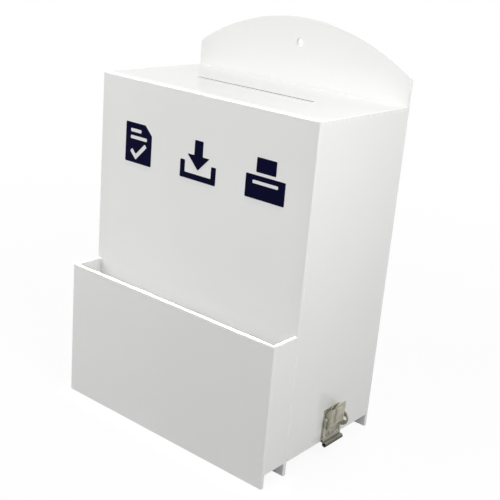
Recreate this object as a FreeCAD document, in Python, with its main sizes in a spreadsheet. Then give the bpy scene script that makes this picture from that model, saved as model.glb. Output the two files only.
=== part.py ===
import FreeCAD, Part
import math
import os
import re
import Sketcher

# A ballot box of white acrylic sheet, with a form pocket across its front, an arched back panel
# to hang it by, and a hinged floor that a draw latch holds shut.
# X runs to the right, Y towards the wall and Z up. The origin is the middle of the bottom edge of
# the back panel's rear face. "Ahead" is a distance in front of that face, so it is minus Y.

SIZES = {
    # The acrylic box
    "box_width": (200, "outside width of the box"),
    "box_depth": (106, "front panel's front face to back panel's front face"),
    "box_height": (256, "top of the box above the surface it stands on"),
    "sheet": (3, "thickness of the acrylic"),
    "skirt": (10.5, "how far the upright panels reach below the floor"),
    "back_rise": (20, "shoulders of the back panel above the top of the box"),
    "arch_rise": (30, "crown of the arch above the shoulders"),
    "shoulder_corner": (1.5, "rounding of the shoulders where the arch meets the straight edges"),
    "hang_hole_drop": (19, "hanging hole's centre below the crown"),
    "hang_hole_radius": (3.5, "radius of the hanging hole"),
    "pocket_depth": (25, "pocket's front face ahead of the front panel's"),
    "pocket_height": (108.5, "rim of the pocket above the surface"),
    "slot_length": (110, "length of the ballot slot"),
    "slot_width": (5, "width of the ballot slot"),
    "slot_corner": (1.5, "radius of the slot's corners"),
    "edge_ease": (0.6, "rounding of the panels' open edges"),
    "door_gap": (0.5, "gap between the door and the panels before and behind it"),
    "door_side_gap": (0.3, "gap between the door and the hinges' wall leaves"),
    # The sheet metal, its pins and its rivets
    "plate": (0.8, "thickness of the hinges' and the latch's metal"),
    "pin_fit": (0.05, "radial clearance of a pin in its hole"),
    "rivet_radius": (1.2, "radius of a rivet's shank"),
    "rivet_fit": (0.1, "radial clearance of a rivet in its hole"),
    "rivet_head_radius": (2.2, "radius of a rivet's outer head"),
    "rivet_head_height": (0.8, "height of a rivet's outer head"),
    "rivet_head_round": (0.6, "rounding of a rivet's outer head"),
    "rivet_tail_radius": (1.9, "radius of a rivet's inner head"),
    "rivet_tail_height": (0.6, "height of a rivet's inner head"),
    "rivet_tail_round": (0.4, "rounding of a rivet's inner head"),
    # The two hinges
    "hinge_length": (24, "length of a hinge along its pin"),
    "hinge_inset": (7.5, "gap between a hinge's outer end and the panel beside it"),
    "hinge_leaf": (16, "reach of a leaf from the box's lower left edge"),
    "leaf_corner": (2, "rounding of a leaf's free corners"),
    "hinge_barrel_radius": (1.6, "outer radius of the knuckles"),
    "hinge_pin_radius": (0.8, "radius of the hinge pin"),
    "hinge_head_radius": (1.2, "radius of the hinge pin's heads"),
    "hinge_head_height": (0.5, "thickness of the hinge pin's heads"),
    "knuckle_gap": (0.3, "gap between knuckles, and round them"),
    "hinge_rivet_pitch": (12, "distance between a leaf's two rivets"),
    "hinge_rivet_reach": (9.5, "rivets' distance from the box's lower left edge"),
    # The draw latch
    "base_rise": (0.2, "foot of the latch base above the side panel's lower edge"),
    "base_width": (20, "width of the latch base"),
    "base_height": (23.3, "height of the latch base"),
    "base_corner": (1.5, "rounding of the latch base's corners"),
    "base_rivet_inset": (2.5, "rivets' distance from the base's ends"),
    "latch_pin_radius": (0.75, "radius of the latch's two pins"),
    "latch_head_radius": (1.1, "radius of the bail pin's heads"),
    "latch_head_height": (0.4, "thickness of the bail pin's heads"),
    "pivot_rise": (9.3, "lever's pivot above the foot of the base"),
    "pivot_standoff": (3.2, "lever's pivot out from the side panel"),
    "ear_radius": (1.3, "rounding of the base's ears about the pivot"),
    "ear_gap": (0.4, "gap between an ear and the lever's cheek"),
    "eye_rise": (0.8, "middle of the padlock eye above the lever's pivot"),
    "eye_standoff": (1.6, "middle of the padlock eye's rounding out from the side panel"),
    "eye_radius": (6.4, "rounding of the padlock eye"),
    "eye_hole_standoff": (5, "padlock eye's hole out from the side panel"),
    "eye_hole_radius": (1.7, "radius of the padlock eye's hole"),
    "eye_gap": (1, "gap between the padlock eye and the bail"),
    "lever_width": (17.4, "width of the lever across its cheeks"),
    "lever_back": (1.8, "cheeks' reach behind the pivot"),
    "lever_front": (2.4, "lever's face out from the pivot"),
    "lever_reach": (15.5, "height of the lever's face above the pivot"),
    "lever_slope": (1.1, "lean of the lever's face over its height"),
    "lever_end_radius": (2, "rounding of the cheeks about the pivot"),
    "face_low": (1.2, "start of the lever's face above the pivot"),
    "cheek_cut": (4.5, "height of the slant that thins the cheeks at their top"),
    "tip_width": (11, "width of the lever's finger tip"),
    "tip_rise": (4.5, "height of the finger tip"),
    "tip_flare": (2.6, "outward flare of the finger tip"),
    "tip_corner": (2.5, "rounding of the finger tip's corners"),
    "crown_width": (7, "width of the rib pressed into the lever's face"),
    "crown_height": (0.8, "height of that rib"),
    "crown_low": (3, "start of that rib above the pivot"),
    "lever_throw": (6.5, "bail's pin above the lever's pivot"),
    "bail_standoff": (2.6, "bail's pin out from the side panel"),
    "bail_width": (22, "width of the bail"),
    "bail_eye_radius": (1.5, "rounding of the bail about its pin"),
    "leg_gap": (0.5, "gap between a leg of the bail and the lever"),
    "window_sill": (3.8, "lower edge of the bail's window above its roll"),
    "roll_radius": (1.9, "outer radius of the bail's rolled end"),
    "roll_drop": (0.7, "middle of the roll below the door's underside"),
    "strike_reach": (16, "strike's reach under the door"),
    "strike_width": (18, "width of the strike"),
    "strike_lip": (1.8, "strike's reach past the side panel"),
    "strike_rise": (1.6, "strike's turned-up lip above the door's underside"),
    "strike_rivet_pitch": (10, "distance between the strike's two rivets"),
    "strike_rivet_reach": (9, "strike's rivets in from the side panel"),
}

# Places that several pieces share, as expressions of the sizes
SIDE = "(box_width / 2)"
FRONT_AHEAD = "(sheet + box_depth)"
POCKET_AHEAD = "(sheet + box_depth + pocket_depth)"
MIDDLE_AHEAD = "(sheet + (box_depth - sheet) / 2)"
INSIDE_DEPTH = "(box_depth - sheet)"
POCKET_MIDDLE = "(sheet + box_depth + (pocket_depth - sheet) / 2)"
POCKET_INSIDE = "(pocket_depth - sheet)"
FLOOR_TOP = "(skirt + sheet)"
CEILING = "(box_height - sheet)"
SHOULDER = "(box_height + back_rise)"
HANG_HOLE = "(box_height + back_rise + arch_rise - hang_hole_drop)"
HINGE_X = "(-(box_width / 2 + hinge_barrel_radius))"
HINGE_Z = "(skirt - hinge_barrel_radius)"
KNUCKLE = "((hinge_length - 2 * knuckle_gap) / 3)"
BASE_FOOT = "(skirt + sheet + base_rise)"
BASE_TOP = "(skirt + sheet + base_rise + base_height)"
PIVOT_X = "(box_width / 2 + pivot_standoff)"
PIVOT_Z = "(skirt + sheet + base_rise + pivot_rise)"
BAIL_X = "(box_width / 2 + bail_standoff)"
BAIL_Z = f"({PIVOT_Z} + lever_throw)"
ROLL_X = "(box_width / 2 + bail_standoff - plate / 2 + roll_radius)"
ROLL_Z = "(skirt - roll_drop)"
EYE_X = "(box_width / 2 + eye_standoff)"
EYE_Z = f"({PIVOT_Z} + eye_rise)"
EYE_REACH = "(bail_width / 2 + eye_gap + plate)"

# Sketch planes: across the depth, across the width and level
DEPTHWAYS = "XZ_Plane"
WIDTHWAYS = "YZ_Plane"
LEVEL = "XY_Plane"

FACING_RIGHT = FreeCAD.Rotation(FreeCAD.Vector(0, 1, 0), 90)
FACING_LEFT = FreeCAD.Rotation(FreeCAD.Vector(0, 1, 0), -90)
FACING_DOWN = FreeCAD.Rotation(FreeCAD.Vector(1, 0, 0), 180)

CLOSE = 1e-6
LEAST_CUT = 1e-3
GUESS_RADIUS = 5.0

DOC = FreeCAD.newDocument("BallotBox")
NODES = []


def write_sizes():
    """Put every size in the sheet, with its name and what it means."""
    sizes = DOC.addObject("Spreadsheet::Sheet", "Sizes")
    for row, (name, (value, meaning)) in enumerate(SIZES.items(), 1):
        sizes.set(f"A{row}", name)
        sizes.set(f"B{row}", str(value))
        sizes.set(f"C{row}", meaning)
        sizes.setAlias(f"B{row}", name)
    DOC.recompute()


def from_sizes(text):
    """Turn words into cells of the sheet, and leave function names alone."""
    return re.sub(r"\b[a-z][a-z_]*\b(?!\()", r"Sizes.\g<0>", text)


def bind(item, path, text):
    item.setExpression(path, from_sizes(text))


def node(item, label):
    """Name an object and list it among the pieces that are written out."""
    item.Label = label
    NODES.append(item)
    return item


def new_body(label):
    return node(DOC.addObject("PartDesign::Body", label), label)


def rectangle(low_x, high_x, low_y, high_y):
    return [(low_x, low_y), (high_x, low_y), (high_x, high_y), (low_x, high_y)]


def new_sketch(body, name, plane, offset):
    """Make a sketch parallel to one of the body's own planes."""
    support = next(item for item in body.Origin.OriginFeatures if item.Role == plane)
    sketch = body.newObject("Sketcher::SketchObject", f"{body.Name}_{name}")
    sketch.AttachmentSupport = [(support, "")]
    sketch.MapMode = "FlatFace"
    bind(sketch, ".AttachmentOffset.Base.z", offset)
    return sketch


def hold(sketch, kind, text, value, *places):
    """Add a constraint whose value follows an expression."""
    index = sketch.addConstraint(Sketcher.Constraint(kind, *places, value))
    name = f"{kind}{index}"
    sketch.renameConstraint(index, name)
    bind(sketch, f"Constraints.{name}", text)


def hold_point(sketch, geometry, point, place, guess):
    hold(sketch, "DistanceX", place[0], guess.x, -1, 1, geometry, point)
    hold(sketch, "DistanceY", place[1], guess.y, -1, 1, geometry, point)


def draw_outline(sketch, corners):
    """Draw a closed outline of straight lines; it starts as a regular shape and is pulled to its places."""
    count = len(corners)
    first = sketch.GeometryCount
    turns = [2 * math.pi * k / count for k in range(count)]
    guesses = [FreeCAD.Vector(math.cos(a), math.sin(a), 0) * GUESS_RADIUS for a in turns]
    for k in range(count):
        sketch.addGeometry(Part.LineSegment(guesses[k], guesses[(k + 1) % count]))
    for k, place in enumerate(corners):
        following = first + (k + 1) % count
        sketch.addConstraint(Sketcher.Constraint("Coincident", first + k, 2, following, 1))
        hold_point(sketch, first + k, 1, place, guesses[k])


def draw_circle(sketch, x, y, radius):
    guess = FreeCAD.Vector(GUESS_RADIUS, GUESS_RADIUS, 0)
    circle = sketch.addGeometry(Part.Circle(guess, FreeCAD.Vector(0, 0, 1), GUESS_RADIUS))
    hold_point(sketch, circle, 3, (x, y), guess)
    hold(sketch, "Radius", radius, GUESS_RADIUS, circle)


def draw(sketch, shape):
    if isinstance(shape, tuple):
        draw_circle(sketch, *shape)
    else:
        draw_outline(sketch, shape)


def extrude(kind, body, sketch, length):
    """Pad or pocket a sketch, half to each side of its plane."""
    feature = body.newObject(f"PartDesign::{kind}", f"{sketch.Name}_{kind.lower()}")
    feature.Profile = sketch
    feature.SideType = "Symmetric"
    bind(feature, "Length", length)
    DOC.recompute()


def add(body, name, plane, offset, length, shape):
    """Pad an outline, or a circle given as (x, y, radius)."""
    sketch = new_sketch(body, name, plane, offset)
    draw(sketch, shape)
    extrude("Pad", body, sketch, length)


def cut(body, name, plane, offset, length, shape):
    """Pocket an outline or a circle, and make sure that it takes something away."""
    before = body.Shape.Volume
    sketch = new_sketch(body, name, plane, offset)
    draw(sketch, shape)
    extrude("Pocket", body, sketch, length)
    if body.Shape.Volume > before - LEAST_CUT:
        raise ValueError(f"{sketch.Name} cuts nothing")


def lies_in(edge, axis, level):
    """Whether an edge keeps to one level along an axis."""
    box = edge.BoundBox
    low, high = getattr(box, f"{axis}Min"), getattr(box, f"{axis}Max")
    return abs(low - level) < CLOSE and abs(high - level) < CLOSE


def runs_along(edge, axis):
    """Whether an edge is straight along one axis."""
    return all(getattr(edge.BoundBox, f"{other}Length") < CLOSE for other in "XYZ" if other != axis)


def ease(body, name, radius, chosen):
    """Round the edges of a body that a test picks out."""
    base = body.Tip
    edges = [f"Edge{k}" for k, edge in enumerate(base.Shape.Edges, 1) if chosen(edge)]
    fillet = body.newObject("PartDesign::Fillet", f"{body.Name}_{name}")
    fillet.Base = (base, edges)
    bind(fillet, "Radius", radius)
    DOC.recompute()


def upright_panel(label, ahead, height):
    """A full-width panel that stands across the box, with its front face `ahead` of the wall."""
    panel = new_body(label)
    outline = rectangle(f"-{SIDE}", SIDE, "0", height)
    add(panel, "outline", DEPTHWAYS, f"{ahead} - sheet / 2", "sheet", outline)
    box = panel.Shape.BoundBox
    ease(panel, "face_edges", "edge_ease", lambda edge: lies_in(edge, "Y", box.YMin))
    return panel


def front_panel():
    upright_panel("front_panel", FRONT_AHEAD, "box_height")


def pocket_front_panel():
    panel = upright_panel("pocket_front_panel", POCKET_AHEAD, "pocket_height")
    box = panel.Shape.BoundBox
    at_rim = lambda edge: lies_in(edge, "Z", box.ZMax) and lies_in(edge, "Y", box.YMax)
    ease(panel, "rim_edge", "edge_ease", at_rim)


def back_panel():
    """The arched panel: two straight edges, one arc over them and the hole it hangs by."""
    panel = new_body("back_panel")
    sketch = new_sketch(panel, "outline", DEPTHWAYS, "sheet / 2")
    half = SIZES["box_width"][0] / 2
    shoulder = SIZES["box_height"][0] + SIZES["back_rise"][0]
    rise = SIZES["arch_rise"][0]
    corners = [(-half, 0), (half, 0), (half, shoulder), (-half, shoulder)]
    left_foot, right_foot, right, left = [FreeCAD.Vector(x, z, 0) for x, z in corners]
    crown = FreeCAD.Vector(0, shoulder + rise, 0)
    sketch.addGeometry(Part.LineSegment(left_foot, right_foot))
    sketch.addGeometry(Part.LineSegment(right_foot, right))
    sketch.addGeometry(Part.LineSegment(left, left_foot))
    arch = sketch.addGeometry(Part.Arc(right, crown, left))
    radius = "((box_width / 2) ^ 2 + arch_rise ^ 2) / (2 * arch_rise)"
    for joined in ((0, 2, 1, 1), (1, 2, arch, 1), (arch, 2, 2, 1), (2, 2, 0, 1)):
        sketch.addConstraint(Sketcher.Constraint("Coincident", *joined))
    hold_point(sketch, 0, 1, (f"-{SIDE}", "0"), left_foot)
    hold_point(sketch, 1, 1, (SIDE, "0"), right_foot)
    hold_point(sketch, 1, 2, (SIDE, SHOULDER), right)
    hold_point(sketch, 2, 1, (f"-{SIDE}", SHOULDER), left)
    hold(sketch, "Radius", radius, (half ** 2 + rise ** 2) / (2 * rise), arch)
    extrude("Pad", panel, sketch, "sheet")
    at_shoulders = lambda edge: runs_along(edge, "Y") and edge.BoundBox.ZMin > CLOSE
    ease(panel, "shoulders", "shoulder_corner", at_shoulders)
    box = panel.Shape.BoundBox
    at_faces = lambda edge: lies_in(edge, "Y", box.YMin) or lies_in(edge, "Y", box.YMax)
    ease(panel, "face_edges", "edge_ease", at_faces)
    cut(panel, "hang_hole", DEPTHWAYS, "sheet / 2", "2 * sheet", ("0", HANG_HOLE, "hang_hole_radius"))


def top_panel():
    panel = new_body("top_panel")
    outline = rectangle(f"-{SIDE}", SIDE, CEILING, "box_height")
    add(panel, "outline", DEPTHWAYS, MIDDLE_AHEAD, INSIDE_DEPTH, outline)
    box = panel.Shape.BoundBox
    at_ends = lambda edge: lies_in(edge, "X", box.XMin) or lies_in(edge, "X", box.XMax)
    ease(panel, "end_edges", "edge_ease", lambda edge: at_ends(edge) and lies_in(edge, "Z", box.ZMax))
    slot = rectangle("-slot_length / 2", "slot_length / 2", f"{CEILING} - sheet", "box_height + sheet")
    cut(panel, "slot", DEPTHWAYS, MIDDLE_AHEAD, "slot_width", slot)
    inside = lambda edge: box.YMin + CLOSE < edge.BoundBox.YMin and edge.BoundBox.YMax < box.YMax - CLOSE
    ease(panel, "slot_corners", "slot_corner", lambda edge: runs_along(edge, "Z") and inside(edge))


def hinge_middles():
    """Where the two hinges' middles lie, ahead of the wall, by name."""
    return {
        "front": "(box_depth - hinge_inset - hinge_length / 2)",
        "rear": "(sheet + hinge_inset + hinge_length / 2)",
    }


def hinge_rivets():
    """How far ahead of the wall each of a side's four hinge rivets lies."""
    return [f"({middle} {sign} hinge_rivet_pitch / 2)"
            for middle in hinge_middles().values() for sign in "+-"]


def base_rivets():
    """Heights of the latch base's two rivets."""
    return [f"({BASE_FOOT} + base_rivet_inset)", f"({BASE_TOP} - base_rivet_inset)"]


def strike_rivets():
    """How far ahead of the wall the strike's two rivets lie."""
    return [f"({MIDDLE_AHEAD} {sign} strike_rivet_pitch / 2)" for sign in "+-"]


def rivet_hole(body, name, plane, offset, x, y):
    cut(body, name, plane, offset, "3 * sheet", (x, y, "rivet_radius + rivet_fit"))


def left_side_panel():
    panel = new_body("left_side_panel")
    outline = rectangle(f"-{SIDE}", f"sheet - {SIDE}", FLOOR_TOP, CEILING)
    add(panel, "outline", DEPTHWAYS, MIDDLE_AHEAD, INSIDE_DEPTH, outline)
    for k, ahead in enumerate(hinge_rivets()):
        rivet_hole(panel, f"hole{k}", WIDTHWAYS, f"-{SIDE}", f"-{ahead}", "skirt + hinge_rivet_reach")


def right_side_panel():
    panel = new_body("right_side_panel")
    outline = rectangle(f"{SIDE} - sheet", SIDE, FLOOR_TOP, CEILING)
    add(panel, "outline", DEPTHWAYS, MIDDLE_AHEAD, INSIDE_DEPTH, outline)
    for k, height in enumerate(base_rivets()):
        rivet_hole(panel, f"hole{k}", WIDTHWAYS, SIDE, f"-{MIDDLE_AHEAD}", height)


def pocket_sides():
    for label, low, high in (
        ("left_pocket_side", f"-{SIDE}", f"sheet - {SIDE}"),
        ("right_pocket_side", f"{SIDE} - sheet", SIDE),
    ):
        panel = new_body(label)
        outline = rectangle(low, high, "skirt", "pocket_height")
        add(panel, "outline", DEPTHWAYS, POCKET_MIDDLE, POCKET_INSIDE, outline)
        rim = panel.Shape.BoundBox.ZMax
        ease(panel, "rim", "edge_ease", lambda edge: runs_along(edge, "Y") and lies_in(edge, "Z", rim))


def pocket_floor():
    outline = rectangle(f"sheet - {SIDE}", f"{SIDE} - sheet", "skirt", FLOOR_TOP)
    add(new_body("pocket_floor"), "outline", DEPTHWAYS, POCKET_MIDDLE, POCKET_INSIDE, outline)


def bottom_door():
    door = new_body("bottom_door")
    outline = rectangle(f"door_side_gap - {SIDE}", SIDE, "skirt", FLOOR_TOP)
    add(door, "outline", DEPTHWAYS, MIDDLE_AHEAD, f"{INSIDE_DEPTH} - 2 * door_gap", outline)
    for k, ahead in enumerate(hinge_rivets()):
        rivet_hole(door, f"hinge_hole{k}", LEVEL, "skirt", f"hinge_rivet_reach - {SIDE}", f"-{ahead}")
    for k, ahead in enumerate(strike_rivets()):
        rivet_hole(door, f"strike_hole{k}", LEVEL, "skirt", f"{SIDE} - strike_rivet_reach", f"-{ahead}")


def knuckle_middle(middle, place):
    """Middle of a knuckle; place is -1, 0 or 1, from the rear to the front of the hinge."""
    return f"({middle} + {place} * ({KNUCKLE} + knuckle_gap))"


def wall_leaf(label, middle):
    """The leaf on the side panel, with the two outer knuckles."""
    leaf = new_body(label)
    clear = f"{HINGE_Z} + hinge_barrel_radius + knuckle_gap"
    sheet_low, sheet_high = f"-({SIDE} + plate)", f"-{SIDE}"
    outline = rectangle(sheet_low, sheet_high, clear, "skirt + hinge_leaf")
    add(leaf, "leaf", DEPTHWAYS, middle, "hinge_length", outline)
    top = leaf.Shape.BoundBox.ZMax
    ease(leaf, "corners", "leaf_corner", lambda edge: runs_along(edge, "X") and lies_in(edge, "Z", top))
    for k, place in enumerate((-1, 1)):
        ahead = knuckle_middle(middle, place)
        add(leaf, f"arm{k}", DEPTHWAYS, ahead, KNUCKLE, rectangle(sheet_low, sheet_high, HINGE_Z, clear))
        add(leaf, f"knuckle{k}", DEPTHWAYS, ahead, KNUCKLE, (HINGE_X, HINGE_Z, "hinge_barrel_radius"))
    finish_leaf(leaf, middle, WIDTHWAYS, f"-{SIDE}")


def door_leaf(label, middle):
    """The leaf under the door, with the middle knuckle."""
    leaf = new_body(label)
    clear = f"{HINGE_X} + hinge_barrel_radius + knuckle_gap"
    outline = rectangle(clear, f"hinge_leaf - {SIDE}", "skirt - plate", "skirt")
    add(leaf, "leaf", DEPTHWAYS, middle, "hinge_length", outline)
    end = leaf.Shape.BoundBox.XMax
    ease(leaf, "corners", "leaf_corner", lambda edge: runs_along(edge, "Z") and lies_in(edge, "X", end))
    add(leaf, "arm", DEPTHWAYS, middle, KNUCKLE, rectangle(HINGE_X, clear, "skirt - plate", "skirt"))
    add(leaf, "knuckle", DEPTHWAYS, middle, KNUCKLE, (HINGE_X, HINGE_Z, "hinge_barrel_radius"))
    finish_leaf(leaf, middle, LEVEL, "skirt")


def finish_leaf(leaf, middle, plane, offset):
    """Bore a leaf's knuckles for the pin, and its plate for two rivets."""
    bore = (HINGE_X, HINGE_Z, "hinge_pin_radius + pin_fit")
    cut(leaf, "bore", DEPTHWAYS, middle, "2 * hinge_length", bore)
    for k, sign in enumerate("+-"):
        ahead = f"-({middle} {sign} hinge_rivet_pitch / 2)"
        if plane == WIDTHWAYS:
            place = (ahead, "skirt + hinge_rivet_reach")
        else:
            place = (f"hinge_rivet_reach - {SIDE}", ahead)
        rivet_hole(leaf, f"rivet_hole{k}", plane, offset, *place)


def headed_pin(label, x, z, middle, length, radius, head_radius, head_height):
    """A pin along the depth, with a head beyond each end of the length it fills."""
    pin = new_body(label)
    add(pin, "shank", DEPTHWAYS, middle, length, (x, z, radius))
    for k, sign in enumerate("+-"):
        ahead = f"{middle} {sign} ({length} + {head_height}) / 2"
        add(pin, f"head{k}", DEPTHWAYS, ahead, head_height, (x, z, head_radius))


def hinges():
    for name, middle in hinge_middles().items():
        wall_leaf(f"{name}_hinge_wall_leaf", middle)
        door_leaf(f"{name}_hinge_door_leaf", middle)
        headed_pin(
            f"{name}_hinge_pin", HINGE_X, HINGE_Z, middle, "hinge_length",
            "hinge_pin_radius", "hinge_head_radius", "hinge_head_height",
        )


def latch_base():
    """The plate on the side panel, with the lever's ears and an eye for a padlock."""
    base = new_body("latch_base")
    face = f"{SIDE} + plate"
    add(base, "plate", DEPTHWAYS, MIDDLE_AHEAD, "base_width", rectangle(SIDE, face, BASE_FOOT, BASE_TOP))
    ease(base, "corners", "base_corner", lambda edge: runs_along(edge, "X"))
    ear = rectangle(f"{SIDE} + plate / 2", PIVOT_X, f"{PIVOT_Z} - ear_radius", f"{PIVOT_Z} + ear_radius")
    for k, sign in enumerate("+-"):
        ahead = f"{MIDDLE_AHEAD} {sign} (lever_width / 2 - 1.5 * plate - ear_gap)"
        add(base, f"ear{k}", DEPTHWAYS, ahead, "plate", ear)
        add(base, f"ear_end{k}", DEPTHWAYS, ahead, "plate", (PIVOT_X, PIVOT_Z, "ear_radius"))
    low, high = f"{EYE_Z} - eye_radius", f"{EYE_Z} + eye_radius"
    add(base, "eye_foot", DEPTHWAYS, f"{MIDDLE_AHEAD} - {EYE_REACH} / 2", EYE_REACH,
        rectangle(SIDE, face, BASE_FOOT, high))
    ahead = f"{MIDDLE_AHEAD} - {EYE_REACH} + plate / 2"
    add(base, "eye", DEPTHWAYS, ahead, "plate", rectangle(SIDE, EYE_X, low, high))
    add(base, "eye_end", DEPTHWAYS, ahead, "plate", (EYE_X, EYE_Z, "eye_radius"))
    behind = rectangle(f"{SIDE} - eye_radius", SIDE, low, high)
    cut(base, "eye_back", DEPTHWAYS, ahead, "2 * plate", behind)
    eye_hole = (f"{SIDE} + eye_hole_standoff", EYE_Z, "eye_hole_radius")
    cut(base, "eye_hole", DEPTHWAYS, ahead, "2 * plate", eye_hole)
    pivot_hole = (PIVOT_X, PIVOT_Z, "latch_pin_radius + pin_fit")
    cut(base, "pivot_hole", DEPTHWAYS, MIDDLE_AHEAD, "lever_width", pivot_hole)
    for k, height in enumerate(base_rivets()):
        rivet_hole(base, f"rivet_hole{k}", WIDTHWAYS, SIDE, f"-{MIDDLE_AHEAD}", height)


def latch_lever():
    """A channel with a sloping face, a flared finger tip and a rib pressed into its face."""
    lever = new_body("latch_lever")
    back = f"{PIVOT_X} - lever_back"
    top = f"{PIVOT_Z} + lever_reach"
    low_face = f"{PIVOT_X} + lever_front"
    top_face = f"{PIVOT_X} + lever_front + lever_slope"
    side = [
        (back, PIVOT_Z),
        (low_face, PIVOT_Z),
        (top_face, top),
        (f"{top_face} - 2 * plate", top),
        (back, f"{top} - cheek_cut"),
    ]
    add(lever, "side", DEPTHWAYS, MIDDLE_AHEAD, "lever_width", side)
    add(lever, "end", DEPTHWAYS, MIDDLE_AHEAD, "lever_width", (PIVOT_X, PIVOT_Z, "lever_end_radius"))
    channel = [
        (f"{back} - plate", f"{PIVOT_Z} - 2 * lever_end_radius"),
        (f"{low_face} + plate", f"{PIVOT_Z} - 2 * lever_end_radius"),
        (f"{low_face} + plate", f"{PIVOT_Z} + face_low"),
        (f"{low_face} + lever_slope * face_low / lever_reach - plate", f"{PIVOT_Z} + face_low"),
        (f"{top_face} - plate", top),
        (f"{top_face} - plate", f"{top} + plate"),
        (f"{back} - plate", f"{top} + plate"),
    ]
    cut(lever, "channel", DEPTHWAYS, MIDDLE_AHEAD, "lever_width - 2 * plate", channel)
    tip_length = "sqrt(tip_rise ^ 2 + tip_flare ^ 2)"
    tip_x, tip_z = f"{top_face} + tip_flare", f"{top} + tip_rise"
    tip = [
        (f"{top_face} - plate * {tip_length} / tip_rise", top),
        (top_face, top),
        (tip_x, tip_z),
        (f"{tip_x} - plate * tip_rise / {tip_length}", f"{tip_z} + plate * tip_flare / {tip_length}"),
    ]
    add(lever, "tip", DEPTHWAYS, MIDDLE_AHEAD, "tip_width", tip)
    tip_end = lever.Shape.BoundBox.ZMax
    across_end = lambda box: box.YLength < CLOSE and box.ZMax > tip_end - CLOSE and box.ZLength < box.XLength
    ease(lever, "tip_corners", "tip_corner", lambda edge: across_end(edge.BoundBox))
    rib_foot = f"{low_face} + lever_slope * crown_low / lever_reach"
    rib = [
        (f"{rib_foot} - plate / 2", f"{PIVOT_Z} + crown_low"),
        (rib_foot, f"{PIVOT_Z} + crown_low"),
        (f"{rib_foot} + crown_height", f"{PIVOT_Z} + crown_low + 2 * crown_height"),
        (f"{top_face} + crown_height", f"{top} - crown_height"),
        (top_face, top),
        (f"{top_face} - plate / 2", top),
    ]
    add(lever, "rib", DEPTHWAYS, MIDDLE_AHEAD, "crown_width", rib)
    for name, x, z in (("pivot_hole", PIVOT_X, PIVOT_Z), ("bail_hole", BAIL_X, BAIL_Z)):
        cut(lever, name, DEPTHWAYS, MIDDLE_AHEAD, "2 * lever_width", (x, z, "latch_pin_radius + pin_fit"))


def latch_bail():
    """The frame that the lever draws up: two legs beside the lever, a sill and a rolled end."""
    bail = new_body("latch_bail")
    inner, outer = f"{BAIL_X} - plate / 2", f"{BAIL_X} + plate / 2"
    sill = f"{ROLL_Z} + window_sill"
    add(bail, "sill", DEPTHWAYS, MIDDLE_AHEAD, "bail_width", rectangle(inner, outer, ROLL_Z, sill))
    add(bail, "roll", DEPTHWAYS, MIDDLE_AHEAD, "bail_width", (ROLL_X, ROLL_Z, "roll_radius"))
    cut(bail, "roll_bore", DEPTHWAYS, MIDDLE_AHEAD, "2 * bail_width", (ROLL_X, ROLL_Z, "roll_radius - plate"))
    leg_width = "(bail_width / 2 - lever_width / 2 - leg_gap)"
    for k, sign in enumerate("+-"):
        ahead = f"{MIDDLE_AHEAD} {sign} (bail_width / 2 - {leg_width} / 2)"
        add(bail, f"leg{k}", DEPTHWAYS, ahead, leg_width, rectangle(inner, outer, sill, BAIL_Z))
        add(bail, f"leg_eye{k}", DEPTHWAYS, ahead, leg_width, (BAIL_X, BAIL_Z, "bail_eye_radius"))
    pin_hole = (BAIL_X, BAIL_Z, "latch_pin_radius + pin_fit")
    cut(bail, "pin_hole", DEPTHWAYS, MIDDLE_AHEAD, "2 * bail_width", pin_hole)


def latch_pins():
    pivot = new_body("latch_pivot_pin")
    add(pivot, "shank", DEPTHWAYS, MIDDLE_AHEAD, "lever_width", (PIVOT_X, PIVOT_Z, "latch_pin_radius"))
    headed_pin(
        "latch_bail_pin", BAIL_X, BAIL_Z, MIDDLE_AHEAD, "(bail_width + 2 * pin_fit)",
        "latch_pin_radius", "latch_head_radius", "latch_head_height",
    )


def latch_strike():
    """The plate under the door whose turned-up lip the bail's roll takes hold of."""
    strike = new_body("latch_strike")
    lip = f"{SIDE} + strike_lip"
    plate = rectangle(f"{SIDE} - strike_reach", lip, "skirt - plate", "skirt")
    add(strike, "plate", DEPTHWAYS, MIDDLE_AHEAD, "strike_width", plate)
    upturn = rectangle(f"{lip} - plate", lip, "skirt - plate", "skirt + strike_rise")
    add(strike, "lip", DEPTHWAYS, MIDDLE_AHEAD, "strike_width", upturn)
    for k, ahead in enumerate(strike_rivets()):
        rivet_hole(strike, f"rivet_hole{k}", LEVEL, "skirt", f"{SIDE} - strike_rivet_reach", f"-{ahead}")


def rivet():
    """One rivet, standing on the acrylic's outer face with its outer head up."""
    body = DOC.addObject("PartDesign::Body", "rivet")
    sketch = new_sketch(body, "profile", DEPTHWAYS, "0")
    inner_end, outer_end = "-(sheet + rivet_tail_height)", "plate + rivet_head_height"
    profile = [
        ("0", inner_end),
        ("rivet_tail_radius", inner_end),
        ("rivet_tail_radius", "-sheet"),
        ("rivet_radius", "-sheet"),
        ("rivet_radius", "plate"),
        ("rivet_head_radius", "plate"),
        ("rivet_head_radius", outer_end),
        ("0", outer_end),
    ]
    draw_outline(sketch, profile)
    turned = body.newObject("PartDesign::Revolution", "rivet_turned")
    turned.Profile = sketch
    turned.ReferenceAxis = (sketch, ["V_Axis"])
    DOC.recompute()
    box = body.Shape.BoundBox
    ease(body, "head_round", "rivet_head_round", lambda edge: lies_in(edge, "Z", box.ZMax))
    ease(body, "tail_round", "rivet_tail_round", lambda edge: lies_in(edge, "Z", box.ZMin))
    return body


def rivet_group(label, master, facing, places):
    """Copies of the rivet at the given places, as one node of separate solids."""
    copies = []
    for k, place in enumerate(places):
        copy = DOC.addObject("App::Link", f"{label}_{k}")
        copy.LinkedObject = master
        copy.Placement = FreeCAD.Placement(FreeCAD.Vector(), facing)
        for axis, text in zip("xyz", place):
            bind(copy, f".Placement.Base.{axis}", text)
        copies.append(copy)
    group = node(DOC.addObject("Part::Compound", label), label)
    group.Links = copies


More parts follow.
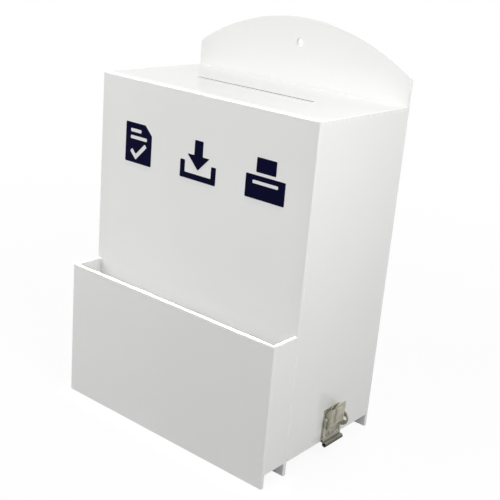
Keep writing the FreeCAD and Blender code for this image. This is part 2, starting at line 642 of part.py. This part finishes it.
def rivets():
    master = rivet()
    hinge_ahead = hinge_rivets()
    height = "skirt + hinge_rivet_reach"
    on_wall = [(f"-{SIDE}", f"-{ahead}", height) for ahead in hinge_ahead]
    rivet_group("hinge_wall_rivets", master, FACING_LEFT, on_wall)
    under_door = [(f"hinge_rivet_reach - {SIDE}", f"-{ahead}", "skirt") for ahead in hinge_ahead]
    rivet_group("hinge_door_rivets", master, FACING_DOWN, under_door)
    on_side = [(SIDE, f"-{MIDDLE_AHEAD}", height) for height in base_rivets()]
    rivet_group("latch_base_rivets", master, FACING_RIGHT, on_side)
    at_strike = [(f"{SIDE} - strike_rivet_reach", f"-{ahead}", "skirt") for ahead in strike_rivets()]
    rivet_group("latch_strike_rivets", master, FACING_DOWN, at_strike)


def check_document():
    """Stop if any object failed, or if any piece has no sound shape."""
    for item in DOC.Objects:
        if "Invalid" in item.State or "Error" in item.State:
            raise ValueError(f"{item.Name} failed: {item.State}")
    for item in NODES:
        if item.Shape.isNull() or not item.Shape.isValid():
            raise ValueError(f"{item.Label} has no sound shape")


def write_parts():
    os.makedirs("parts", exist_ok=True)
    for item in NODES:
        item.Shape.exportStep(f"parts/{item.Label}.step")
        print(f"{item.Label}: {len(item.Shape.Solids)} solid(s), {item.Shape.Volume:.1f} mm3")


write_sizes()
back_panel()
front_panel()
top_panel()
left_side_panel()
right_side_panel()
pocket_front_panel()
pocket_sides()
pocket_floor()
bottom_door()
hinges()
latch_base()
latch_lever()
latch_bail()
latch_pins()
latch_strike()
rivets()
DOC.recompute()
check_document()
write_parts()
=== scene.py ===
# %% [markdown]
# # A white acrylic ballot box, dressed for a studio picture
# The box is made of flat sheets, so its shape is already right in the imported model: what is left
# for Blender is the finish of the sheets, the pressed look of the small steel latch and hinges,
# the vinyl signs on the front, the light and the camera. We start by loading the imported model.
# Its nodes keep their places.

# %% Load the imported model
import math
import bpy
from mathutils import Matrix, Vector


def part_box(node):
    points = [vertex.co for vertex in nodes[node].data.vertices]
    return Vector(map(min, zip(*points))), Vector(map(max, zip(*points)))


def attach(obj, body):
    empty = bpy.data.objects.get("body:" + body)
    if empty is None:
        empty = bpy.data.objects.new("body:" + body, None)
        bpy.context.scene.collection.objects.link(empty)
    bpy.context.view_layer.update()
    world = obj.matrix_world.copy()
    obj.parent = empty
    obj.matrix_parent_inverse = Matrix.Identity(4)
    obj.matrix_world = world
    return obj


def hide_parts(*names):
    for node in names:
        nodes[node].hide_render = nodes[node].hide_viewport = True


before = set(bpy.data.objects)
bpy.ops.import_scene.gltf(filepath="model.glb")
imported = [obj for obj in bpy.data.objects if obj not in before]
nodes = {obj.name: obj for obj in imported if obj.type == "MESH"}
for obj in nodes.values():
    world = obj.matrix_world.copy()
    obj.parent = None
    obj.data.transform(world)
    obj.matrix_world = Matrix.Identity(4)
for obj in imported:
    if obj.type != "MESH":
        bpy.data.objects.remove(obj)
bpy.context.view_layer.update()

# %% [markdown]
# ## The camera
# A photograph of a box tells where the camera stood: every long edge is a straight line that must
# land on the picture's own edge. The place, the direction and the lens below come from such a fit.
# The three rows are the camera's right, up and forward directions, so they go into its matrix as
# they are, and no aiming by hand is needed.

# %% Place the camera
CAMERA_PLACE = (0.433967, -0.593872, 0.369352)
CAMERA_RIGHT = (0.765923, 0.637654, 0.082218)
CAMERA_UP = (-0.268065, 0.200488, 0.942309)
CAMERA_FORWARD = (-0.584383, 0.743776, -0.324491)
CAMERA_LENS = 68.307
SENSOR_WIDTH = 36.0

bpy.ops.object.select_all(action="DESELECT")
bpy.ops.object.camera_add()
camera = bpy.context.object
camera.name = "studio_camera"
backward = [-part for part in CAMERA_FORWARD]
columns = Matrix((CAMERA_RIGHT, CAMERA_UP, backward)).transposed().to_4x4()
camera.matrix_world = Matrix.Translation(CAMERA_PLACE) @ columns
camera.data.sensor_width = SENSOR_WIDTH
camera.data.lens = CAMERA_LENS
bpy.context.scene.camera = camera
print("camera at", CAMERA_PLACE, "with a lens of", CAMERA_LENS, "mm")

# %% [markdown]
# ## Writing node trees as arithmetic
# A finish is a small program: this much dust here, a little gloss less there. Node by node that is
# slow to read, so one class wraps a socket, and plain arithmetic on it adds Math nodes. A second
# class holds a node tree and makes any other node from its type, its settings and its sockets. A
# third is a material: it knows its main shader and the coordinates that patterns are drawn in.

# %% Sockets that can be added and multiplied
class Signal:
    """A number that varies over a surface: an output socket of a node tree."""

    def __init__(self, tree, socket):
        self.tree = tree
        self.socket = socket

    def math(self, operation, first, second=0.0):
        return self.tree.node("ShaderNodeMath", {"operation": operation}, {0: first, 1: second})

    def __add__(self, other):
        return self.math("ADD", self, other)

    def __radd__(self, other):
        return self.math("ADD", other, self)

    def __sub__(self, other):
        return self.math("SUBTRACT", self, other)

    def __rsub__(self, other):
        return self.math("SUBTRACT", other, self)

    def __mul__(self, other):
        return self.math("MULTIPLY", self, other)

    def __rmul__(self, other):
        return self.math("MULTIPLY", other, self)

    def __abs__(self):
        return self.math("ABSOLUTE", self)


print("sockets can be added, subtracted and multiplied")

# %% A node tree that makes its own nodes
class Tree:
    """A node tree of a material or of the world."""

    def __init__(self, owner):
        owner.use_nodes = True
        self.owner = owner
        self.tree = owner.node_tree

    def node(self, kind, settings=None, sockets=None, output=0):
        """Add a node: its settings first, then the values or links of its sockets."""
        made = self.tree.nodes.new(kind)
        for name, value in (settings or {}).items():
            setattr(made, name, value)
        self.fill(made, sockets or {})
        return Signal(self, made.outputs[output])

    def fill(self, made, sockets):
        for name, value in sockets.items():
            if isinstance(value, Signal):
                self.tree.links.new(value.socket, made.inputs[name])
            else:
                made.inputs[name].default_value = value

    def spread(self, value, low, high, to_low=0.0, to_high=1.0):
        """Map a range of a signal onto another, with its ends held."""
        sockets = {
            "Value": value, "From Min": low, "From Max": high, "To Min": to_low, "To Max": to_high,
        }
        return self.node("ShaderNodeMapRange", {"interpolation_type": "SMOOTHSTEP"}, sockets)

    def noise(self, place, scale, detail=2.0, roughness=0.5):
        sockets = {"Vector": place, "Scale": scale, "Detail": detail, "Roughness": roughness}
        return self.node("ShaderNodeTexNoise", None, sockets, "Fac")

    def stretched(self, place, scale):
        return self.node("ShaderNodeMapping", None, {"Vector": place, "Scale": scale})

    def mix(self, factor, first, second):
        """Blend two colours."""
        sockets = {"Factor": factor, 6: first, 7: second}
        return self.node("ShaderNodeMix", {"data_type": "RGBA"}, sockets, 2)

    def axis(self, vector, name):
        return self.node("ShaderNodeSeparateXYZ", None, {"Vector": vector}, name)


print("a tree makes its own nodes")

# %% A material with one main shader
class Finish(Tree):
    """A material with one main shader, and the coordinates that its patterns use."""

    def __init__(self, name):
        super().__init__(bpy.data.materials.new(name))
        self.shader = self.tree.nodes["Principled BSDF"]
        self.place = self.node("ShaderNodeTexCoord", None, None, "Object")
        self.facing = self.node("ShaderNodeTexCoord", None, None, "Normal")

    def surface(self, **sockets):
        self.fill(self.shader, {name.replace("_", " "): value for name, value in sockets.items()})

    def bumps(self, height, depth):
        """Let a signal raise and lower the surface by up to this depth, in metres."""
        made = self.node("ShaderNodeBump", None, {"Height": height, "Distance": depth})
        self.fill(self.shader, {"Normal": made})


print("finishes can be written")

# %% [markdown]
# ## White acrylic
# Cast opal acrylic is nearly white all through, with a polished face that mirrors what stands
# before it. Its sawn edges are different: they are duller and a touch greener, and they keep fine
# marks of the saw. The direction a point faces tells the two apart, so each panel needs to know
# only which way its broad face looks. Faint clouds and smears keep the faces from looking drawn.

# %% Acrylic for panels that face along one axis
FACE_WHITE = (0.93, 0.934, 0.92, 1.0)
FACE_SHADE = (0.915, 0.919, 0.905, 1.0)
EDGE_WHITE = (0.925, 0.935, 0.915, 1.0)
ACRYLIC_IOR = 1.49
POLISHED = 0.045
SMEARED = 0.05
SAWN = 0.16
SAW_MARKED = 0.12
SAW_MARKS = (900.0, 900.0, 60.0)
HAIRLINES = (40.0, 40.0, 2500.0)
HAIRLINE_SHARE = 0.06
SAW_DEPTH = 0.00003


def acrylic(name, broad_axis):
    finish = Finish(name)
    along = abs(finish.axis(finish.facing, broad_axis))
    edge = finish.spread(1.0 - along, 0.25, 0.8)
    cloud = finish.spread(finish.noise(finish.place, 9.0, 3.0), 0.35, 0.65)
    face = finish.mix(cloud, FACE_WHITE, FACE_SHADE)
    smear = finish.spread(finish.noise(finish.place, 26.0, 4.0, 0.6), 0.5, 0.8)
    grain = finish.noise(finish.stretched(finish.place, SAW_MARKS), 1.0, 2.0)
    hairline = finish.noise(finish.stretched(finish.place, HAIRLINES), 1.0, 1.0)
    finish.surface(
        Base_Color=finish.mix(edge, face, EDGE_WHITE),
        Roughness=POLISHED + SMEARED * smear + edge * (SAWN + SAW_MARKED * grain),
        IOR=ACRYLIC_IOR,
    )
    finish.bumps(HAIRLINE_SHARE * hairline + edge * grain, SAW_DEPTH)
    return finish.owner


ACRYLIC_FACES = {
    "Y": ("back_panel", "front_panel", "pocket_front_panel"),
    "X": ("left_side_panel", "right_side_panel", "left_pocket_side", "right_pocket_side"),
    "Z": ("top_panel", "pocket_floor", "bottom_door"),
}
for broad_axis, panels in ACRYLIC_FACES.items():
    sheet = acrylic(f"acrylic_facing_{broad_axis.lower()}", broad_axis)
    for panel in panels:
        nodes[panel].material_slots[0].material = sheet
    print(sheet.name, "on", ", ".join(panels))

# %% [markdown]
# ## Dulled nickel, drawn pins and rivets
# The latch and the hinges are pressed from thin steel and plated with nickel. Years of fingers have
# taken the shine off: the colour drifts between grey and a warm beige, with darker spots, and the
# gloss is broken. Two noises of different size give the drift and the spots; a third, stretched
# along the sheet, leaves the fine lines of rolling. The latch's rolled end gets painted shade: its
# colour darkens towards the foot. Most rivets are aluminium.

# %% A plated finish
# Painted shade on the roll: full up to one height above its foot, and gone above the other.
PAINTED_SHADE_COLOUR = (0.045, 0.040, 0.028, 1.0)
PAINTED_SHADE_FULL = 0.002
PAINTED_SHADE_END = 0.006
ROLLING_LINES = (2600.0, 2600.0, 160.0)
SPOT_DARKNESS = 0.45
SPOT_COVER = 0.55
METAL_RELIEF = 0.000015
roll_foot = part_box("latch_bail")[0][2]


def plated(name, light, dark, bare, gloss, painted_shade=0.0):
    finish = Finish(name)
    drift = finish.spread(finish.noise(finish.place, 160.0, 3.0, 0.55), 0.35, 0.68)
    spots = finish.spread(finish.noise(finish.place, 620.0, 2.0, 0.6), 0.56, 0.74)
    rolled = finish.noise(finish.stretched(finish.place, ROLLING_LINES), 1.0, 2.0)
    tone = finish.mix(drift, light, dark)
    # Painted shade: the colour darkens towards the foot of the rolled end.
    if painted_shade:
        height = finish.axis(finish.place, "Z")
        low = finish.spread(height, roll_foot + PAINTED_SHADE_FULL, roll_foot + PAINTED_SHADE_END, 1.0, 0.0)
        tone = finish.mix(painted_shade * low, tone, PAINTED_SHADE_COLOUR)
    stain = tuple(SPOT_DARKNESS * part for part in dark[:3]) + (1.0,)
    finish.surface(
        Base_Color=finish.mix(SPOT_COVER * spots, tone, stain),
        Metallic=bare - 0.25 * spots,
        Roughness=gloss + 0.12 * drift + 0.10 * rolled,
    )
    finish.bumps(rolled + 0.5 * spots, METAL_RELIEF)
    return finish.owner


# The painted shade on the roll ends this high.
print("grease ends", PAINTED_SHADE_END, "m above the roll's foot, which is at", roll_foot)

# %% Four metals, and the pieces that keep their solids
# The latch's finish carries painted shade on its rolled end.
LATCH_STEEL = plated(
    "dulled_nickel", light=(0.54, 0.525, 0.435, 1.0), dark=(0.44, 0.425, 0.345, 1.0),
    bare=0.50, gloss=0.42, painted_shade=0.92,
)
HINGE_STEEL = plated(
    "hinge_nickel", light=(0.52, 0.515, 0.47, 1.0), dark=(0.38, 0.375, 0.335, 1.0),
    bare=0.85, gloss=0.26,
)
PIN_STEEL = plated(
    "drawn_steel", light=(0.42, 0.415, 0.37, 1.0), dark=(0.30, 0.295, 0.255, 1.0),
    bare=0.70, gloss=0.34,
)
RIVET_METAL = plated(
    "rivet_aluminium", light=(0.66, 0.66, 0.64, 1.0), dark=(0.52, 0.52, 0.50, 1.0),
    bare=0.85, gloss=0.34,
)
PLAIN_METAL = {
    PIN_STEEL: ("front_hinge_pin", "rear_hinge_pin", "latch_pivot_pin", "latch_bail_pin"),
    RIVET_METAL: ("hinge_wall_rivets", "hinge_door_rivets", "latch_strike_rivets"),
    LATCH_STEEL: ("latch_base_rivets",),
}
for metal, pieces in PLAIN_METAL.items():
    for piece in pieces:
        nodes[piece].material_slots[0].material = metal
    print(metal.name, "on", ", ".join(pieces))

# %% [markdown]
# ## Pressed metal with soft edges
# Stamped and folded sheet never has a razor edge: the punch rounds it over by a tenth or two of a
# millimetre, and that thin line of light is what makes metal look pressed. The solids have sharp
# edges, so each one is copied, its triangles are merged back into flat faces, and a bevel rounds
# every edge that turns by more than thirty degrees. The copy then stands for the solid.

# %% Round the edges of a copy
WELD = 1e-6
FLAT_ANGLE = math.radians(0.5)
SHARP_ANGLE = math.radians(30)
SMOOTH_ANGLE = math.radians(35)
ROUND_STEPS = 3


def only(piece):
    """Select one object and make it the active one."""
    bpy.ops.object.select_all(action="DESELECT")
    piece.select_set(True)
    bpy.context.view_layer.objects.active = piece


def pressed(node, width):
    """A copy of a solid with its flat faces whole again and its edges rounded."""
    piece = bpy.data.objects.new(f"pressed_{node}", nodes[node].data.copy())
    bpy.context.scene.collection.objects.link(piece)
    only(piece)
    bpy.ops.object.mode_set(mode="EDIT")
    bpy.ops.mesh.select_all(action="SELECT")
    bpy.ops.mesh.remove_doubles(threshold=WELD)
    bpy.ops.mesh.dissolve_limited(angle_limit=FLAT_ANGLE)
    bpy.ops.object.mode_set(mode="OBJECT")
    rounding = piece.modifiers.new("rounding", "BEVEL")
    rounding.limit_method = "ANGLE"
    rounding.angle_limit = SHARP_ANGLE
    rounding.width = width
    rounding.segments = ROUND_STEPS
    bpy.ops.object.modifier_apply(modifier=rounding.name)
    bpy.ops.object.shade_smooth_by_angle(angle=SMOOTH_ANGLE)
    return piece


print("edges above", round(math.degrees(SHARP_ANGLE)), "degrees will be rounded")

# %% Soften the latch and the hinges
# Each row: the body it rides on, its finish, its slot, and how wide its edges are rounded.
SHEET_METAL = {
    "latch_base": ("box", LATCH_STEEL, "latch_steel", 0.00018),
    "latch_lever": ("latch_lever", LATCH_STEEL, "latch_steel", 0.00022),
    "latch_bail": ("latch_bail", LATCH_STEEL, "latch_steel", 0.00018),
    "latch_strike": ("door", LATCH_STEEL, "latch_steel", 0.00018),
    "front_hinge_wall_leaf": ("box", HINGE_STEEL, "hinge_steel", 0.00015),
    "rear_hinge_wall_leaf": ("box", HINGE_STEEL, "hinge_steel", 0.00015),
    "front_hinge_door_leaf": ("door", HINGE_STEEL, "hinge_steel", 0.00015),
    "rear_hinge_door_leaf": ("door", HINGE_STEEL, "hinge_steel", 0.00015),
}
for node, (body, metal, slot, width) in SHEET_METAL.items():
    piece = pressed(node, width)
    piece.data.materials.clear()
    piece.data.materials.append(metal)
    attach(piece, body)
    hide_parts(node)
    print(piece.name, "has", len(piece.data.polygons), "faces")

# %% [markdown]
# ## Vinyl signs on the front
# Three dark blue signs are stuck on the front sheet, where a visitor looks first: a form with a
# tick, an arrow into a tray, and a slip above a slotted box. A plotter cuts such signs from film a
# tenth of a millimetre thick, and its blade leaves small rounded corners. Painting them into the
# sheet's finish would need a picture, so each sign is a flat curve here: outlines with holes in
# them, filled and given the film's thickness, then made a mesh and stood up on the sheet.

# %% Outlines of the signs, in millimetres from the middle of each
# Each row: where the sign's middle stands across the front, in metres, and its outlines.
SIGNS = {
    "sign_form": (-0.060, [
        [(-13.5, -15.0), (13.5, -15.0), (13.5, 8.0), (6.5, 15.0), (-13.5, 15.0)],
        [(-8.5, 8.0), (2.5, 8.0), (2.5, 10.6), (-8.5, 10.6)],
        [(-8.5, 2.8), (8.5, 2.8), (8.5, 5.4), (-8.5, 5.4)],
        [(-8.6, -6.6), (-6.4, -4.4), (-2.6, -8.2), (6.4, 0.8), (8.6, -1.4), (-2.6, -12.6)],
    ]),
    "sign_arrow_and_tray": (0.0, [
        [(-4.0, 14.5), (4.0, 14.5), (4.0, 3.5), (10.5, 3.5),
         (0.0, -7.0), (-10.5, 3.5), (-4.0, 3.5)],
        [(-17.0, -1.5), (-17.0, -14.5), (17.0, -14.5), (17.0, -1.5),
         (12.5, -1.5), (12.5, -10.2), (-12.5, -10.2), (-12.5, -1.5)],
    ]),
    "sign_slip_and_box": (0.061, [
        [(-8.5, 14.5), (8.5, 14.5), (8.5, 4.2), (-8.5, 4.2)],
        [(-17.0, -14.5), (17.0, -14.5), (17.0, 2.0), (-17.0, 2.0)],
        [(-11.0, -4.0), (11.0, -4.0), (11.0, -1.6), (-11.0, -1.6)],
    ]),
}
PER_METRE = 1000
CORNER_REACH = 0.8
CORNER_STEPS = 5


def rounded(corners):
    """Replace each corner by a short curve, as the blade leaves it."""
    corners = [Vector(corner) for corner in corners]
    before_each = corners[-1:] + corners[:-1]
    after_each = corners[1:] + corners[:1]
    line = []
    for before, corner, after in zip(before_each, corners, after_each):
        start = corner + CORNER_REACH * (before - corner).normalized()
        end = corner + CORNER_REACH * (after - corner).normalized()
        for step in range(CORNER_STEPS + 1):
            part = step / CORNER_STEPS
            line.append(start.lerp(corner, part).lerp(corner.lerp(end, part), part))
    return line


print(len(SIGNS), "signs of", sum(len(outlines) for _, outlines in SIGNS.values()), "outlines")

# %% A film finish: deep blue with a faint ripple
FILM_DEEP = (0.0016, 0.0018, 0.020, 1.0)
FILM_FADED = (0.0024, 0.0026, 0.026, 1.0)
FILM_DUST = (0.03, 0.03, 0.05, 1.0)
FILM_IOR = 1.46
FILM_SHINE = 0.04
FILM_RIPPLE = 0.00001


def film_blue(name):
    finish = Finish(name)
    fade = finish.spread(finish.noise(finish.place, 55.0, 3.0), 0.3, 0.7)
    ripple = finish.noise(finish.place, 900.0, 2.0)
    dust = finish.spread(finish.noise(finish.place, 2400.0, 2.0, 0.7), 0.66, 0.8)
    finish.surface(
        Base_Color=finish.mix(0.15 * dust, finish.mix(fade, FILM_DEEP, FILM_FADED), FILM_DUST),
        Roughness=0.30 + 0.08 * fade + 0.15 * dust,
        IOR=FILM_IOR,
        Specular_IOR_Level=FILM_SHINE,
    )
    finish.bumps(ripple, FILM_RIPPLE)
    return finish.owner


SIGN_FILM = film_blue("vinyl_film")
print("made", SIGN_FILM.name)

# %% Cut the signs and stick them on
SIGN_HEIGHT = 0.209
FILM = 0.00012
SUNK = 0.00002
front_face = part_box("front_panel")[0][1]


def sign(name, middle, outlines):
    curve = bpy.data.curves.new(name, "CURVE")
    curve.dimensions = "2D"
    curve.fill_mode = "BOTH"
    curve.extrude = FILM / 2
    for outline in outlines:
        line = rounded(outline)
        spline = curve.splines.new("POLY")
        spline.points.add(len(line) - 1)
        for point, (across, up) in zip(spline.points, line):
            point.co = (across / PER_METRE, up / PER_METRE, 0.0, 1.0)
        spline.use_cyclic_u = True
    piece = bpy.data.objects.new(name, curve)
    bpy.context.scene.collection.objects.link(piece)
    only(piece)
    bpy.ops.object.convert(target="MESH")
    piece = bpy.context.object
    bpy.ops.object.mode_set(mode="EDIT")
    bpy.ops.mesh.select_all(action="SELECT")
    bpy.ops.mesh.remove_doubles(threshold=WELD)
    bpy.ops.mesh.normals_make_consistent(inside=False)
    bpy.ops.object.mode_set(mode="OBJECT")
    piece.rotation_euler = (math.radians(90), 0.0, 0.0)
    piece.location = (middle, front_face + SUNK - FILM / 2, SIGN_HEIGHT)
    bpy.ops.object.transform_apply(location=True, rotation=True, scale=True)
    return piece


for name, (middle, outlines) in SIGNS.items():
    piece = sign(name, middle, outlines)
    piece.data.materials.append(SIGN_FILM)
    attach(piece, "box")
    print(piece.name, "has", len(piece.data.polygons), "faces")

# %% [markdown]
# ## The floor and the background
# The picture is a plain studio one: white all round, with soft light from both sides. White acrylic
# shows its shape only by small steps of tone: the top and the back panel are the brightest, then
# the right side, then the front and the pocket. A white floor would throw light back at the low
# faces and flatten them, so for scattered light the floor is a middle grey, while the camera and
# the mirror of the acrylic still see it as white paper with a very faint shadow. It lies a hair
# below the feet, and is clear from below, so the underside can be looked at too.

# %% Lay the floor
WHITE = (1.0, 1.0, 1.0, 1.0)
PAPER_SHADE = (0.88, 0.88, 0.88, 1.0)
PAPER_WHITE = (0.90, 0.90, 0.90, 1.0)
PAPER_GREY = (0.35, 0.35, 0.35, 1.0)
FLOOR_SIZE = 60.0
FLOOR_DROP = 0.0002
SHADOW_REACH = (0.15, 0.8)
WHITE_NEAR = 0.92
WHITE_MIRRORED = 0.35


def rays(tree, *kinds):
    """1 where the ray that looks at a surface is of one of these kinds, and 0 elsewhere."""
    seen = 0.0
    for kind in kinds:
        seen = tree.node("ShaderNodeLightPath", None, None, f"Is {kind} Ray") + seen
    return seen


bpy.ops.object.select_all(action="DESELECT")
bpy.ops.mesh.primitive_plane_add(size=FLOOR_SIZE, location=(0.0, 0.0, -FLOOR_DROP))
floor = bpy.context.object
floor.name = "studio_floor"
paper = Tree(bpy.data.materials.new("studio_paper"))
paper.tree.nodes.clear()
ground = paper.node("ShaderNodeTexCoord", None, None, "Object")
fibres = paper.noise(ground, 30.0, 3.0)
pale = paper.mix(fibres, PAPER_SHADE, PAPER_WHITE)
paper_colour = paper.mix(rays(paper, "Diffuse"), pale, PAPER_GREY)
matt = paper.node("ShaderNodeBsdfDiffuse", None, {"Color": paper_colour})
glow = paper.node("ShaderNodeEmission", None, {"Color": WHITE, "Strength": 1.0})
away = paper.node("ShaderNodeVectorMath", {"operation": "LENGTH"}, {0: ground}, "Value")
white = rays(paper, "Camera") * paper.spread(away, *SHADOW_REACH, WHITE_NEAR, 1.0)
white = white + WHITE_MIRRORED * rays(paper, "Glossy", "Transmission")
shown = paper.node("ShaderNodeMixShader", None, {0: white, 1: matt, 2: glow})
under = paper.node("ShaderNodeNewGeometry", None, None, "Backfacing")
clear = paper.node("ShaderNodeBsdfTransparent")
shown = paper.node("ShaderNodeMixShader", None, {0: under, 1: shown, 2: clear})
paper.fill(paper.tree.nodes.new("ShaderNodeOutputMaterial"), {"Surface": shown})
floor.data.materials.append(paper.owner)
print("floor laid")

# %% [markdown]
# ## Six soft lamps and a strip
# Two panels stand to the left of the front and two to the right, a high and a low one on each side:
# near lamps let the tone fade from the top down, as a window would. From low down the polished
# front would mirror three of them as burnt patches, so reflections leave those out. One softbox far
# to the left and one behind keep the faces that the camera doesn't see from going dark, because the
# box is looked at from every side. Real opal sheet lets light through, so a pocket made of it is
# bright inside; the sheet here is opaque, and a narrow strip above the pocket makes up for that.
# The world adds even light, and is plain white where the camera or a reflection sees it.

# %% Make the world white
AMBIENT = 0.36
world = bpy.data.worlds.new("studio_world")
bpy.context.scene.world = world
surround = Tree(world)
seen = rays(surround, "Camera", "Glossy", "Transmission")
brightness = seen + (1.0 - seen) * AMBIENT
backdrop = surround.tree.nodes["Background"]
surround.fill(backdrop, {"Color": WHITE, "Strength": brightness})
print("the world lights with", AMBIENT, "and looks white")

# %% Light the studio
# Each row: where the lamp stands, its size in metres and its power in watts.
LAMPS = {
    "left_panel": ((-0.45, -0.60, 0.62), 0.40, 1.5),
    "low_left_panel": ((-0.45, -0.62, 0.42), 0.40, 1.1),
    "right_panel": ((0.50, -0.12, 0.62), 0.35, 1.5),
    "low_right_panel": ((0.43, -0.21, 0.39), 0.29, 0.64),
    "far_softbox": ((-1.20, -0.30, 0.70), 0.80, 2.0),
    "rear_softbox": ((-0.15, 1.10, 0.95), 0.90, 5.0),
}
LAMP_AIM = (0.0, -0.06, 0.14)
# Only these lamps show in reflections.
MIRRORED = ("right_panel", "far_softbox", "rear_softbox")


def area_lamp(name, place, aim, size, power):
    bpy.ops.object.light_add(type="AREA", location=place)
    lamp = bpy.context.object
    lamp.name = name
    lamp.rotation_euler = (Vector(aim) - Vector(place)).to_track_quat("-Z", "Y").to_euler()
    lamp.data.size = size
    lamp.data.energy = power
    print(name, "gives", power, "W")
    return lamp


for name, (place, size, power) in LAMPS.items():
    lamp = area_lamp(name, place, LAMP_AIM, size, power)
    lamp.visible_glossy = name in MIRRORED

# %% Shine a strip of light into the pocket
STRIP_PLACE = (0.0, -0.1235, 0.60)
STRIP_AIM = (0.0, -0.1215, 0.10)
STRIP_LENGTH = 0.19
STRIP_WIDTH = 0.016
STRIP_SPREAD = math.radians(5)
STRIP_POWER = 0.06

strip = area_lamp("pocket_strip", STRIP_PLACE, STRIP_AIM, STRIP_LENGTH, STRIP_POWER)
strip.data.shape = "RECTANGLE"
strip.data.size_y = STRIP_WIDTH
strip.data.spread = STRIP_SPREAD
print("its light opens by only", round(math.degrees(STRIP_SPREAD)), "degrees")

# %% [markdown]
# ## The view transform
# Colours should come out as they are written, so the view transform is the plain one.

# %% Finish
bpy.context.scene.view_settings.view_transform = "Standard"
